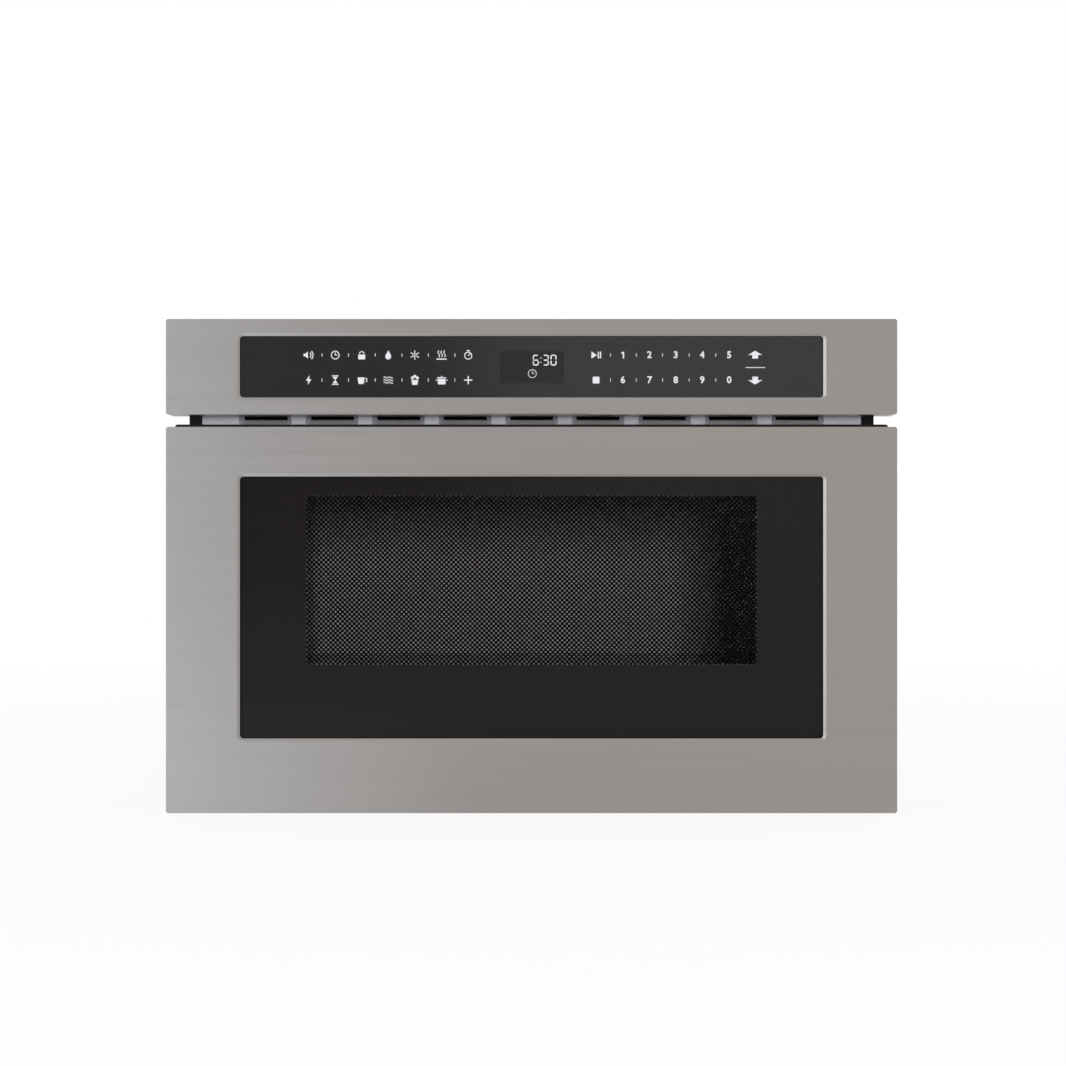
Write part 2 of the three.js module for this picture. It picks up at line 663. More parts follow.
// Angle on the side of the chassis; its ear is screwed to the edge of the cabinet's cut-out.
function mountingFlange(sign) {
  const root = halfChassis + SEAT;
  const reach = root + FLANGE_REACH;
  const narrow = root + FLANGE_NARROW;
  const shoulder = frontPlateTop + flange.shoulderAbove;
  const top = chassisHeight - flange.below;
  const ear = extruded(outline([
    [sign * root, FLANGE_FOOT], [sign * reach, FLANGE_FOOT], [sign * reach, shoulder - flange.slope],
    [sign * narrow, shoulder], [sign * narrow, top], [sign * root, top],
  ]), 'y', [frontY - FLANGE_SHEET, frontY]);
  const leg = block(
    [sign * root, sign * (root + FLANGE_SHEET)], [frontY - FLANGE_SHEET, frontY + FLANGE_LEG],
    [FLANGE_FOOT, top]);
  const holes = [];
  for (const level of flange.holeLevels) {
    const centre = [sign * (reach - flange.holeFromEdge), FLANGE_FOOT + level * (shoulder - FLANGE_FOOT)];
    holes.push(rod('y', centre, FLANGE_HOLE, [frontY - 2 * THROUGH, frontY + THROUGH], SMALL_ROUND_STEPS));
  }
  return cut(ear.add(leg), holes);
}

// ---------------------------------------------------------------- control panel
function controlBezel() {
  const relief = block(
    [-PANEL_RELIEF_WIDTH / 2, PANEL_RELIEF_WIDTH / 2], [faceY - THROUGH, faceY + PANEL_RELIEF_REACH],
    [panelBottom - THROUGH, panelBottom + PANEL_RELIEF_DEPTH]);
  return foldedFace(panelBottom, panelTop, frontY - DOOR_CLEARANCE)
    .subtract(bevelledOpening(panelGlass))
    .subtract(relief);
}

function glassPlate(opening, fromY, thickness) {
  return extruded(roundedRectangle(
    [-opening.x - GLASS_LAP, opening.x + GLASS_LAP],
    [opening.low - GLASS_LAP, opening.high + GLASS_LAP], GLASS_CORNER), 'y', [fromY, fromY + thickness]);
}

const boardY = behindFace + PANEL_GLASS_THICK + SEAT;

function controlHousing() {
  const half = halfFace - FACE_RETURN - SEAT;
  const low = panelBottom + FACE_RETURN + SEAT;
  const high = panelTop - FACE_RETURN - SEAT;
  const back = frontY - FLANGE_SHEET - SEAT;
  const tray = block([-half, half], [behindFace, back], [low, high]);
  const inside = block(
    [-half + HOUSING_WALL, half - HOUSING_WALL], [behindFace - THROUGH, back - HOUSING_WALL],
    [low + HOUSING_WALL, high - HOUSING_WALL]);
  const into = HOUSING_WALL / 2;
  const ribs = HOUSING_RIBS.map((x) => block(
    [x - into, x + into], [boardY + BOARD_THICK + SEAT, back - into], [low + into, high - into]));
  const ledges = sides.map(([, sign]) => block(
    [sign * (panelGlass.x + GLASS_LAP + SEAT), sign * (half - into)], [behindFace, behindFace + HOUSING_WALL],
    [low + into, high - into]));
  return joined([tray.subtract(inside), ...ribs, ...ledges]);
}

const chip = { half: 7, height: 2.4, centres: [-200, -130, 100, 140, 195] };

function touchBoard() {
  const half = panelGlass.x - BOARD_MARGIN;
  const plate = block(
    [-half, half], [boardY, boardY + BOARD_THICK],
    [panelGlass.low + BOARD_MARGIN, panelGlass.high - BOARD_MARGIN]);
  const window = block(
    [-DISPLAY_WIDTH / 2 - SEAT, DISPLAY_WIDTH / 2 + SEAT], [boardY - THROUGH, boardY + 2 * THROUGH],
    [panelMiddle - DISPLAY_HEIGHT / 2 - SEAT, panelMiddle + DISPLAY_HEIGHT / 2 + SEAT]);
  const chips = chip.centres.map((x) => block(
    [x - chip.half, x + chip.half], [boardY + BOARD_THICK / 2, boardY + BOARD_THICK + chip.height],
    [panelMiddle - chip.half, panelMiddle + chip.half]));
  return joined([plate, ...chips]).subtract(window);
}

function displayModule() {
  const body = block(
    [-DISPLAY_WIDTH / 2, DISPLAY_WIDTH / 2], [boardY, boardY + DISPLAY_DEPTH],
    [panelMiddle - DISPLAY_HEIGHT / 2, panelMiddle + DISPLAY_HEIGHT / 2]);
  const rim = DISPLAY_RIM;
  const face = block(
    [-DISPLAY_WIDTH / 2 + rim, DISPLAY_WIDTH / 2 - rim], [boardY - THROUGH, boardY + rim / 4],
    [panelMiddle - DISPLAY_HEIGHT / 2 + rim, panelMiddle + DISPLAY_HEIGHT / 2 - rim]);
  return body.subtract(face);
}

// ---------------------------------------------------------------- microwave feed and cooling
function waveguide() {
  const half = GUIDE_WIDTH / 2;
  const front = stirrerY - STIRRER_PORT - GUIDE_PAST_PORT;
  const outer = block([-half, half], [front, guideEndY], [guideFloor, guideTop]);
  const inner = block(
    [-half + GUIDE_SHEET, half - GUIDE_SHEET], [front + GUIDE_SHEET, guideEndY - GUIDE_SHEET],
    [guideFloor + GUIDE_SHEET, guideTop - GUIDE_SHEET]);
  const port = rod('z', [0, stirrerY], STIRRER_PORT, [guideFloor - THROUGH, guideFloor + 2 * THROUGH]);
  const shaftHole = rod(
    'z', [0, stirrerY], STIRRER_SHAFT + RUNNING, [guideTop - 2 * THROUGH, guideTop + THROUGH]);
  const antennaHole = rod(
    'z', [0, rearBayMiddle], antenna.hole, [guideFloor - THROUGH, guideFloor + 2 * THROUGH]);
  return cut(outer, [inner, port, shaftHole, antennaHole]);
}

const antenna = { radius: 8, height: 26, hole: 16 };

const tube = {
  yoke: 2, anode: 19, magnet: 29, magnetHeight: 14, into: 1, fins: 7, fin: 0.8, finFrom: 22, finInset: 8,
  filterDrop: 26, filterInset: 6,
};

// Yoke with the anode, its cooling fins, ring magnets, antenna and filter box.
function magnetron() {
  const top = guideFloor - SEAT;
  const low = top - MAGNETRON_HEIGHT;
  const half = MAGNETRON_WIDTH / 2;
  const ys = [rearBayMiddle - MAGNETRON_DEPTH / 2, rearBayMiddle + MAGNETRON_DEPTH / 2];
  const { yoke, into } = tube;
  const yokeFrame = block([-half, half], ys, [low, top]).subtract(block(
    [-half - THROUGH, half + THROUGH], [ys[0] + yoke, ys[1] - yoke], [low + yoke, top - yoke]));
  const centre = [0, rearBayMiddle];
  const boxInset = tube.filterInset;
  const parts = [
    yokeFrame,
    rod('z', centre, tube.anode, [low + into, top - into]),
    rod('z', centre, tube.magnet, [low + into, low + tube.magnetHeight]),
    rod('z', centre, tube.magnet, [top - tube.magnetHeight, top - into]),
    rod('z', centre, antenna.radius, [top - into, top + antenna.height]),
    block(
      [-half + boxInset, half - boxInset], [ys[0] + boxInset, ys[1] - boxInset],
      [low - tube.filterDrop, low + into]),
  ];
  const first = low + tube.finFrom;
  const pitch = (top - tube.finFrom - first) / (tube.fins - 1);
  for (let fin = 0; fin < tube.fins; fin += 1) {
    const z = first + fin * pitch;
    parts.push(block(
      [-half + tube.finInset, half - tube.finInset], [ys[0] + into, ys[1] - into],
      [z - tube.fin / 2, z + tube.fin / 2]));
  }
  return joined(parts);
}

const spinner = {
  radius: 24, height: 15, boss: 9, bossHeight: 19, ear: 34, earHalf: 5, earSheet: 1.5, bore: 12,
  plugHalf: 8, plugFrom: 20, plugTo: 32, plugLow: 2, plugHigh: 9,
};

function stirrerMotor() {
  const low = guideTop + SEAT;
  const centre = [0, stirrerY];
  const body = joined([
    rod('z', centre, spinner.radius, [low, low + spinner.height]),
    rod('z', centre, spinner.boss, [low + spinner.earSheet, low + spinner.bossHeight]),
    block(
      [-spinner.ear, spinner.ear], [stirrerY - spinner.earHalf, stirrerY + spinner.earHalf],
      [low, low + spinner.earSheet]),
    block(
      [-spinner.plugHalf, spinner.plugHalf], [stirrerY + spinner.plugFrom, stirrerY + spinner.plugTo],
      [low + spinner.plugLow, low + spinner.plugHigh]),
  ]);
  return body.subtract(rod('z', centre, STIRRER_SHAFT + SEAT, [low - THROUGH, low + spinner.bore]));
}

const coverFloor = tub.high + COVER_CLEARANCE;

function stirrerCover() {
  const half = STIRRER_RADIUS + COVER_MARGIN;
  const wall = COVER_WALL;
  const outer = extruded(roundedRectangle(
    [-half, half], [stirrerY - half, stirrerY + half], COVER_CORNER), 'z', [coverFloor, cavityTop - SEAT]);
  const inner = extruded(roundedRectangle(
    [-half + wall, half - wall], [stirrerY - half + wall, stirrerY + half - wall], COVER_CORNER - wall),
  'z', [coverFloor + wall, cavityTop + THROUGH]);
  return outer.subtract(inner);
}

const paddle = { count: 4, hub: 8, start: 5, width: 24, sheet: 0.8, tilt: THREE.MathUtils.degToRad(16) };

function stirrerBlades() {
  const low = coverFloor + 2 * COVER_WALL;
  const top = cavityTop - SHEET;
  const parts = [
    rod('z', [0, stirrerY], paddle.hub, [low, top]),
    rod('z', [0, stirrerY], STIRRER_SHAFT, [low, guideTop + SEAT + spinner.bore - 2 * RUNNING]),
  ];
  for (let blade = 0; blade < paddle.count; blade += 1) {
    const length = STIRRER_RADIUS - paddle.start;
    const geometry = new THREE.BoxGeometry(length, paddle.width, paddle.sheet);
    geometry.rotateX(paddle.tilt);
    geometry.translate(paddle.start + length / 2, 0, 0);
    geometry.rotateZ(blade * 2 * Math.PI / paddle.count);
    geometry.translate(0, stirrerY, (low + top) / 2);
    parts.push(solidOf(geometry));
  }
  return joined(parts);
}

const fanRing = { wall: 2, length: 24, gap: 3, sheet: 1.5, foot: 20, fromCavity: 1, behind: 8 };

// Bulkhead across the rear bay with the ring that the fan turns in.
function fanShroud() {
  const ys = [rearBayY + fanRing.fromCavity, rearPanelY - SHEET - PAN_SHEET - 2 * SEAT];
  const plate = block([FAN_X, FAN_X + fanRing.sheet], ys, [panTop, caseCeiling - SEAT]);
  const centre = [rearBayMiddle, fanZ];
  const bore = FAN_RADIUS + fanRing.gap;
  const foot = block([FAN_X, FAN_X + fanRing.foot], ys, [panTop, panTop + fanRing.sheet]);
  const ring = rod('x', centre, bore + fanRing.wall, [FAN_X - fanRing.length, FAN_X + fanRing.sheet / 2]);
  const hole = rod('x', centre, bore, [FAN_X - fanRing.length - THROUGH, FAN_X + 2 * THROUGH]);
  return joined([plate, ring, foot]).subtract(hole);
}

const fanMotorEnd = FAN_X - fanRing.length - fanRing.behind;
const fanDrive = {
  core: 26, half: 24, below: 22, above: 30, can: 14, canBack: 34, canFront: 3, bore: 20,
  legs: 3, legSheet: 3, legWidth: 8,
};

// Shaded-pole motor on a spider of three legs, whose toes stand on the end of the shroud's ring.
function fanMotor() {
  const centre = [rearBayMiddle, fanZ];
  const parts = [
    block(
      [fanMotorEnd - fanDrive.core, fanMotorEnd], [centre[0] - fanDrive.half, centre[0] + fanDrive.half],
      [centre[1] - fanDrive.below, centre[1] + fanDrive.above]),
    rod('x', centre, fanDrive.can, [fanMotorEnd - fanDrive.canBack, fanMotorEnd + fanDrive.canFront]),
  ];
  const reach = FAN_RADIUS + fanRing.gap + fanRing.wall;
  const toeLength = fanRing.behind - SEAT + fanDrive.legSheet / 2;
  for (let leg = 0; leg < fanDrive.legs; leg += 1) {
    const angle = leg * 2 * Math.PI / fanDrive.legs + Math.PI / 2;
    const arm = new THREE.BoxGeometry(fanDrive.legSheet, reach, fanDrive.legWidth);
    arm.translate(fanMotorEnd - fanDrive.legSheet / 2, reach / 2, 0);
    const toe = new THREE.BoxGeometry(toeLength, fanDrive.legSheet, fanDrive.legWidth);
    toe.translate(
      fanMotorEnd - fanDrive.legSheet / 2 + toeLength / 2, reach - fanDrive.legSheet / 2, 0);
    for (const member of [arm, toe]) {
      member.rotateX(angle);
      member.translate(0, ...centre);
      parts.push(solidOf(member));
    }
  }
  const bore = rod(
    'x', centre, FAN_SHAFT + SEAT, [fanMotorEnd - fanDrive.bore, fanMotorEnd + fanDrive.canFront + THROUGH],
    SMALL_ROUND_STEPS);
  return joined(parts).subtract(bore);
}

const blade = {
  hub: 13, hubHalf: 8, into: 2, sheet: 1.2, rootWidth: 17, widening: 16, camber: 3,
  rootTwist: 52, untwist: 20, lean: 0.62, spread: 0.8,
};

// Twisted blades on a hub, with the shaft that turns in the motor.
function fanRotor() {
  const centre = [rearBayMiddle, fanZ];
  const middle = FAN_X - fanRing.length / 2;
  const parts = [
    rod('x', centre, blade.hub, [middle - blade.hubHalf, middle + blade.hubHalf]),
    rod('x', centre, FAN_SHAFT, [fanMotorEnd - fanDrive.bore + fanRing.gap, middle], SMALL_ROUND_STEPS),
  ];
  for (let number = 0; number < FAN_BLADES; number += 1) {
    const length = FAN_RADIUS - blade.hub + blade.into;
    const geometry = new THREE.BoxGeometry(blade.sheet, 1, length, 1, 4, 3);
    const position = geometry.attributes.position;
    for (let point = 0; point < position.count; point += 1) {
      const radial = position.getZ(point) + length / 2;
      const chord = position.getY(point);
      const along = chord * (blade.rootWidth + blade.widening * radial / length);
      const thick = position.getX(point) + blade.camber * (0.25 - chord * chord);
      const twist = THREE.MathUtils.degToRad(blade.rootTwist - blade.untwist * radial / length);
      position.setXYZ(
        point, thick * Math.sin(twist) + along * Math.cos(twist) * blade.lean,
        -thick * Math.cos(twist) + along * Math.sin(twist) * blade.spread, radial + blade.hub - blade.into);
    }
    geometry.rotateX(number * 2 * Math.PI / FAN_BLADES);
    geometry.translate(middle, ...centre);
    parts.push(solidOf(geometry));
  }
  return joined(parts);
}

const transformer = {
  fromCase: 79, width: 90, depth: 60, height: 76, sheet: 1.5, footReach: 8, footBeyond: 6,
  coilHalf: 32, coilCorner: 8,
  coils: [{ low: 14, height: 20, beyond: 12 }, { low: 40, height: 24, beyond: 16 }],
};

// Laminated core with two windings that stand out at both faces.
function hvTransformer() {
  const right = caseInside - transformer.fromCase;
  const left = right - transformer.width;
  const ys = [rearBayMiddle - transformer.depth / 2, rearBayMiddle + transformer.depth / 2];
  const centre = (left + right) / 2;
  const core = block([left, right], ys, [panTop, panTop + transformer.height]);
  const foot = block(
    [left - transformer.footReach, right + transformer.footReach],
    [ys[0] - transformer.footBeyond, ys[1] + transformer.footBeyond], [panTop, panTop + transformer.sheet]);
  const coils = transformer.coils.map(({ low, height, beyond }) => extruded(roundedRectangle(
    [centre - transformer.coilHalf, centre + transformer.coilHalf], [ys[0] - beyond, ys[1] + beyond],
    transformer.coilCorner), 'z', [panTop + low, panTop + low + height]));
  return joined([core, foot, ...coils]);
}

const capacitor = {
  fromCase: 45, half: 15, deep: 26, height: 92, flat: 0.1, strap: 1.5, strapLow: 20, strapHigh: 32,
  footHalf: 12, footReach: 42, tabs: [-10, 10], tabHalf: 3, tab: 1, tabHeight: 11,
};

// Oval can in a strap, with two blade terminals on top.
function hvCapacitor() {
  const x = caseInside - capacitor.fromCase;
  const y = rearBayMiddle;
  const oval = (grow, zs) => {
    const half = capacitor.half + grow;
    const deep = capacitor.deep + grow;
    return extruded(
      roundedRectangle([x - half, x + half], [y - deep, y + deep], half - capacitor.flat), 'z', zs);
  };
  const top = panTop + capacitor.height;
  const foot = block(
    [x - capacitor.footHalf, x + capacitor.footHalf], [y - capacitor.footReach, y + capacitor.footReach],
    [panTop, panTop + capacitor.strap]);
  const tabs = capacitor.tabs.map((along) => block(
    [x - capacitor.tabHalf, x + capacitor.tabHalf],
    [y + along - capacitor.tab / 2, y + along + capacitor.tab / 2],
    [top - capacitor.tab, top + capacitor.tabHeight]));
  const strap = oval(capacitor.strap, [panTop + capacitor.strapLow, panTop + capacitor.strapHigh]);
  return joined([oval(0, [panTop, top]), strap, foot, ...tabs]);
}

const supply = {
  fromCase: 53, width: 150, depth: 110, behindPort: 20, lift: 14, post: 3.5, postInset: 6, sunk: 0.2,
  relays: [
    { x: [14, 52], y: [12, 46], height: 32 },
    { x: [64, 84], y: [12, 28], height: 20 },
    { x: [64, 84], y: [34, 50], height: 20 },
  ],
  can: { x: 108, y: 30, radius: 11, height: 30 },
  sink: { x: 14, width: 47, y: [66, 98], base: 4, height: 34, fins: 6, fin: 2 },
};

// Board on four posts with its relays, a capacitor and a finned heat sink.
function powerBoard() {
  const left = -caseInside + supply.fromCase;
  const front = stirrerY - supply.behindPort - supply.depth;
  const xs = [left, left + supply.width];
  const ys = [front, front + supply.depth];
  const seat = cavityRoof + SEAT;
  const low = seat + supply.lift;
  const on = low + BOARD_THICK - supply.sunk;
  const over = (range, origin) => range.map((value) => origin + value);
  const parts = [block(xs, ys, [low, low + BOARD_THICK])];
  for (const x of [xs[0] + supply.postInset, xs[1] - supply.postInset]) {
    for (const y of [ys[0] + supply.postInset, ys[1] - supply.postInset]) {
      parts.push(rod('z', [x, y], supply.post, [seat, low + BOARD_THICK / 2], SMALL_ROUND_STEPS));
    }
  }
  for (const relay of supply.relays) {
    parts.push(block(over(relay.x, left), over(relay.y, front), [on, on + relay.height]));
  }
  const { can, sink } = supply;
  parts.push(rod('z', [left + can.x, front + can.y], can.radius, [on, on + can.height]));
  const sinkY = over(sink.y, front);
  parts.push(block([left + sink.x, left + sink.x + sink.width], sinkY, [on, on + sink.base]));
  for (let fin = 0; fin < sink.fins; fin += 1) {
    const x = left + sink.x + fin * (sink.width - sink.fin) / (sink.fins - 1);
    parts.push(block([x, x + sink.fin], sinkY, [on, on + sink.height]));
  }
  return joined(parts);
}

function cavityLamp() {
  const low = cavityRoof + SEAT;
  const xs = [lamp.x - lamp.width / 2, lamp.x + lamp.width / 2];
  const ys = [lamp.y - lamp.depth / 2, lamp.y + lamp.depth / 2];
  const wall = lamp.wall;
  const middle = low + lamp.height / 2;
  const hood = block(xs, ys, [low, low + lamp.height]).subtract(block(
    [xs[0] + wall, xs[1] - wall], [ys[0] + wall, ys[1] - wall], [low - THROUGH, low + lamp.height - wall]));
  const socket = rod('x', [lamp.y, middle], lamp.socket, [xs[0] + lamp.socketFrom, xs[0] + lamp.socketTo]);
  const bulb = new THREE.SphereGeometry(lamp.bulb, ROUND_STEPS, ROUND_STEPS - 4);
  bulb.translate(xs[0] + lamp.bulbFrom, lamp.y, middle);
  return joined([hood, socket, solidOf(bulb)]);
}

const cutout = {
  x: 95, beforePort: 70, radius: 8, height: 9, ear: 16, earHalf: 5, earSheet: 1,
  tabFrom: 3.7, tab: 0.8, tabHalf: 3, tabTop: 17,
};

function thermalCutout() {
  const low = cavityRoof + SEAT;
  const y = stirrerY - cutout.beforePort;
  const tabs = sides.map(([, sign]) => block(
    [cutout.x + sign * cutout.tabFrom, cutout.x + sign * (cutout.tabFrom + cutout.tab)],
    [y - cutout.tabHalf, y + cutout.tabHalf], [low + cutout.height / 2, low + cutout.tabTop]));
  return joined([
    rod('z', [cutout.x, y], cutout.radius, [low, low + cutout.height]),
    block(
      [cutout.x - cutout.ear, cutout.x + cutout.ear], [y - cutout.earHalf, y + cutout.earHalf],
      [low, low + cutout.earSheet]),
    ...tabs,
  ]);
}

// ---------------------------------------------------------------- slides and drive
function channelSection(sign, web, tip, half, lip) {
  const inner = half - SLIDE_SHEET;
  const into = web > tip ? -SLIDE_SHEET : SLIDE_SHEET;
  const points = [[web, -half], [tip, -half]];
  if (lip > 0) {
    points.push([tip, -half + lip], [tip - into, -half + lip], [tip - into, -inner]);
  } else {
    points.push([tip, -inner]);
  }
  points.push([web + into, -inner], [web + into, inner]);
  if (lip > 0) {
    points.push([tip - into, inner], [tip - into, half - lip], [tip, half - lip]);
  } else {
    points.push([tip, inner]);
  }
  points.push([tip, half], [web, half]);
  return outline(points.map(([x, z]) => [sign * x, z + slideZ]));
}

const slideFrontY = behindFront + RUNNING;

function slideOuter(sign) {
  const section = channelSection(sign, slideX, slideInnerFace, SLIDE_HEIGHT / 2, SLIDE_LIP);
  return extruded(section, 'y', [slideFrontY, slideFrontY + SLIDE_LENGTH]);
}

function slideMiddle(sign) {
  const web = slideX - SLIDE_SHEET - RUNNING;
  const tip = slideInnerFace + SLIDE_SHEET + RUNNING;
  const section = channelSection(sign, web, tip, middleHalf, 0);
  return extruded(section, 'y', [slideFrontY, slideFrontY + SLIDE_LENGTH - SLIDE_SHORTER]);
}

function slideInner(sign) {
  const tip = slideX - 2 * (SLIDE_SHEET + RUNNING);
  const section = channelSection(sign, slideInnerFace, tip, innerHalf, 0);
  return extruded(section, 'y', [slideFrontY, slideFrontY + SLIDE_LENGTH - 2 * SLIDE_SHORTER]);
}

function slideBracket(sign) {
  const web = slideX + SEAT;
  const sheet = BRACKET_SHEET;
  const top = slideZ + SLIDE_HEIGHT / 2 + BRACKET_ABOVE;
  const ys = [behindFront + PAN_SHEET + SEAT, slideFrontY + SLIDE_LENGTH];
  const wall = block([sign * web, sign * (web + sheet)], ys, [panTop, top]);
  const foot = block([sign * web, sign * (caseInside - 2 * SEAT - PAN_SHEET)], ys, [panTop, panTop + sheet]);
  const head = block([sign * web, sign * (caseInside - SEAT)], ys, [top - sheet, top]);
  const middle = (panTop + slideZ - SLIDE_HEIGHT / 2) / 2;
  const half = BRACKET_WINDOW / 2;
  const windows = [0.14, 0.38, 0.62, 0.86].map((share) => {
    const y = slideFrontY + share * SLIDE_LENGTH;
    return block(
      [sign * (web - THROUGH), sign * (web + 2 * THROUGH)], [y - half, y + half],
      [middle - half, middle + half]);
  });
  return cut(joined([wall, foot, head]), windows);
}

// Strip along the inner slide member, taller at the door, with a foot on the door's back.
function sideArm(sign) {
  const end = slideFrontY + SLIDE_LENGTH - 2 * SLIDE_SHORTER;
  const small = ARM_HEIGHT / 2;
  const tall = ARM_ROOT_HEIGHT / 2;
  const taper = ARM_TAPER;
  const strip = extruded(outline([
    [onDoorY, slideZ - tall], [onDoorY + ARM_ROOT_LENGTH - taper, slideZ - tall],
    [onDoorY + ARM_ROOT_LENGTH, slideZ - small], [end, slideZ - small],
    [end, slideZ + small], [onDoorY + ARM_ROOT_LENGTH, slideZ + small],
    [onDoorY + ARM_ROOT_LENGTH - taper, slideZ + tall], [onDoorY, slideZ + tall],
  ]), 'x', [sign * armX, sign * (armX - ARM_THICK)]);
  const foot = block(
    [sign * armX, sign * (armX - ARM_FOOT)], [onDoorY, onDoorY + FRONT_SHEET],
    [slideZ - tall, slideZ + tall]);
  return strip.add(foot);
}

// One tooth of the involute profile, as points from root to root about its own centre line.
function pinionOutline() {
  const base = pitchRadius * Math.cos(PRESSURE_ANGLE);
  const tip = pitchRadius + MODULE;
  const root = pitchRadius - 1.25 * MODULE;
  const involute = (angle) => Math.tan(angle) - angle;
  const halfTooth = (Math.PI / 2 - BACKLASH / MODULE) / PINION_TEETH + involute(PRESSURE_ANGLE);
  const flankSteps = 4;
  const points = [];
  for (let tooth = 0; tooth < PINION_TEETH; tooth += 1) {
    // A tooth space points at the rack at rest.
    const centre = Math.PI + (tooth + 0.5) * 2 * Math.PI / PINION_TEETH;
    const flank = [];
    for (let step = 0; step <= flankSteps; step += 1) {
      const radius = base + (tip - base) * step / flankSteps;
      flank.push([radius, halfTooth - involute(Math.acos(base / radius))]);
    }
    const rise = [[root, halfTooth], ...flank];
    const at = (radius, angle) => [
      PINION_X + radius * Math.cos(angle), pinionY + radius * Math.sin(angle)];
    rise.forEach(([radius, angle]) => points.push(at(radius, centre - angle)));
    rise.reverse().forEach(([radius, angle]) => points.push(at(radius, centre + angle)));
  }
  return outline(points);
}

function drivePinion() {
  const gear = extruded(pinionOutline(), 'z', [RACK_LEVEL, rackTop]);
  const centre = [PINION_X, pinionY];
  const collar = rod('z', centre, PINION_COLLAR, [panTop + GEARBOX_HEIGHT + RUNNING, RACK_LEVEL + 1]);
  const shaft = rod('z', centre, PINION_SHAFT, [panTop + SHAFT_FOOT + THROUGH, rackTop + PINION_SHAFT]);
  return joined([gear, collar, shaft]);
}

const rackFoot = { plain: 8, reach: 9, rise: 9 };

// Rack teeth point at +X and run along Y; a tooth stands at the height of the pinion's axis at rest.
function driveRack() {
  const pitch = Math.PI * MODULE;
  const slope = Math.tan(PRESSURE_ANGLE);
  const halfAtPitch = pitch / 4 - BACKLASH / 2;
  const halfTip = halfAtPitch - MODULE * slope;
  const halfRoot = halfAtPitch + 1.25 * MODULE * slope;
  const tipX = rackPitchX + MODULE;
  const startY = onDoorY;
  const firstTooth = Math.ceil((startY + rackFoot.plain - pinionY) / pitch);
  const lastTooth = Math.floor((rackEndY - halfRoot - MODULE - pinionY) / pitch);
  const points = [[rackBackX, startY], [rackRootX, startY]];
  for (let tooth = firstTooth; tooth <= lastTooth; tooth += 1) {
    const y = pinionY + tooth * pitch;
    points.push(
      [rackRootX, y - halfRoot], [tipX, y - halfTip], [tipX, y + halfTip], [rackRootX, y + halfRoot]);
  }
  points.push([rackRootX, rackEndY], [rackBackX, rackEndY]);
  const bar = extruded(outline(points), 'z', [RACK_LEVEL, rackTop]);
  const foot = block(
    [rackBackX - rackFoot.reach, tipX + rackFoot.reach], [onDoorY, onDoorY + FRONT_SHEET],
    [RACK_LEVEL - rackFoot.rise, rackTop + rackFoot.rise]);
  return bar.add(foot);
}

const guide = { half: 26, wall: 6, lipBefore: 2, foot: 3, footReach: 24 };

// Nylon C-block that holds the rack against the pinion.
function rackGuide() {
  const wall = guide.wall;
  const ys = [pinionY - guide.half, pinionY + guide.half];
  const back = rackBackX - RUNNING;
  const lipEnd = rackRootX - guide.lipBefore;
  const body = block([back - wall, lipEnd], ys, [RACK_LEVEL - RUNNING - wall, rackTop + RUNNING + wall]);
  const channel = block(
    [back, lipEnd + THROUGH], [ys[0] - THROUGH, ys[1] + THROUGH], [RACK_LEVEL - RUNNING, rackTop + RUNNING]);
  const stem = block([back - wall, back + wall / 3], ys, [panTop, RACK_LEVEL - RUNNING - wall / 2]);
  const foot = block([back - guide.footReach, back + wall / 3], ys, [panTop, panTop + guide.foot]);
  return joined([body.subtract(channel), stem, foot]);
}

const gearbox = { left: 12, front: 20, corner: 6, ear: 10, earFrom: 8, earTo: 22, earSheet: 3 };
const driveCan = { fromRear: 20, height: 18, radius: 17, length: 52, boss: 7, bossLength: 4 };

// Gearbox under the pinion with its motor lying beside it.
function driveMotor() {
  const xs = [PINION_X - gearbox.left, PINION_X - gearbox.left + GEARBOX_WIDTH];
  const ys = [pinionY - gearbox.front, pinionY - gearbox.front + GEARBOX_DEPTH];
  const box = extruded(roundedRectangle(xs, ys, gearbox.corner), 'z', [panTop, panTop + GEARBOX_HEIGHT]);
  const centre = [ys[1] - driveCan.fromRear, panTop + driveCan.height];
  const canEnd = xs[1] + driveCan.length;
  const can = rod('x', centre, driveCan.radius, [xs[1] - THROUGH, canEnd]);
  const boss = rod('x', centre, driveCan.boss, [canEnd - THROUGH, canEnd + driveCan.bossLength]);
  const ears = block(
    [xs[0] + gearbox.corner, xs[1] + gearbox.ear], [ys[0] + gearbox.earFrom, ys[0] + gearbox.earTo],
    [panTop, panTop + gearbox.earSheet]);
  const bore = rod(
    'z', [PINION_X, pinionY], PINION_SHAFT + SEAT, [panTop + SHAFT_FOOT, panTop + GEARBOX_HEIGHT + THROUGH]);
  return joined([box, can, boss, ears]).subtract(bore);
}

// ---------------------------------------------------------------- interlock
function latchHook(sign) {
  const blade = block(
    [sign * hook.x, sign * (hook.x + hook.thick)], [onDoorY, onDoorY + hook.reach],
    [hook.low, hook.low + hook.height]);
  const notch = block(
    [sign * (hook.x - THROUGH), sign * (hook.x + hook.thick + THROUGH)],
    [onDoorY + hook.reach - hook.notchFrom, onDoorY + hook.reach - hook.notchTo],
    [hook.low - THROUGH, hook.low + hook.notchHigh]);
  const foot = block(
    [sign * hook.x, sign * (hook.x + hook.footWidth)], [onDoorY, onDoorY + FRONT_SHEET],
    [hook.low - hook.footRise, hook.low + hook.height + hook.footRise]);
  return blade.subtract(notch).add(foot);
}

